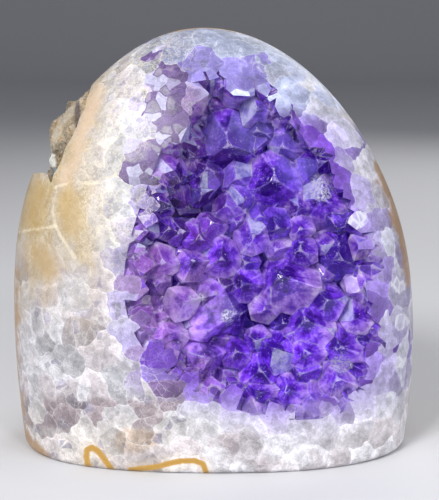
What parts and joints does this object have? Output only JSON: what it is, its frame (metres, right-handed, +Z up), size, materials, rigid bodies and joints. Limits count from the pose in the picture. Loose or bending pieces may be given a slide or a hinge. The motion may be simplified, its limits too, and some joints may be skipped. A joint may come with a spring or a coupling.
{
  "type": "amethyst geode",
  "caption": "Standing amethyst geode: a polished pale quartz block, cut flat underneath, whose front opens in a hollow lined with purple crystals; rough host rock on the back.",
  "frame": {"origin": "on the floor, in the middle of the block's width and depth", "axes": "+Z up, the hollow faces -Y, +X to the right as one looks into the hollow"},
  "size_m": [0.1039, 0.0626, 0.1071],
  "materials": {
    "quartz_shell": "polished",
    "amethyst_crust": "natural crystal faces",
    "host_rock": "rough, unpolished"
  },
  "bodies": {
    "root": {"quartz_shell": "quartz_shell", "amethyst_crust": "amethyst_crust", "host_rock": "host_rock"}
  },
  "joints": []
}
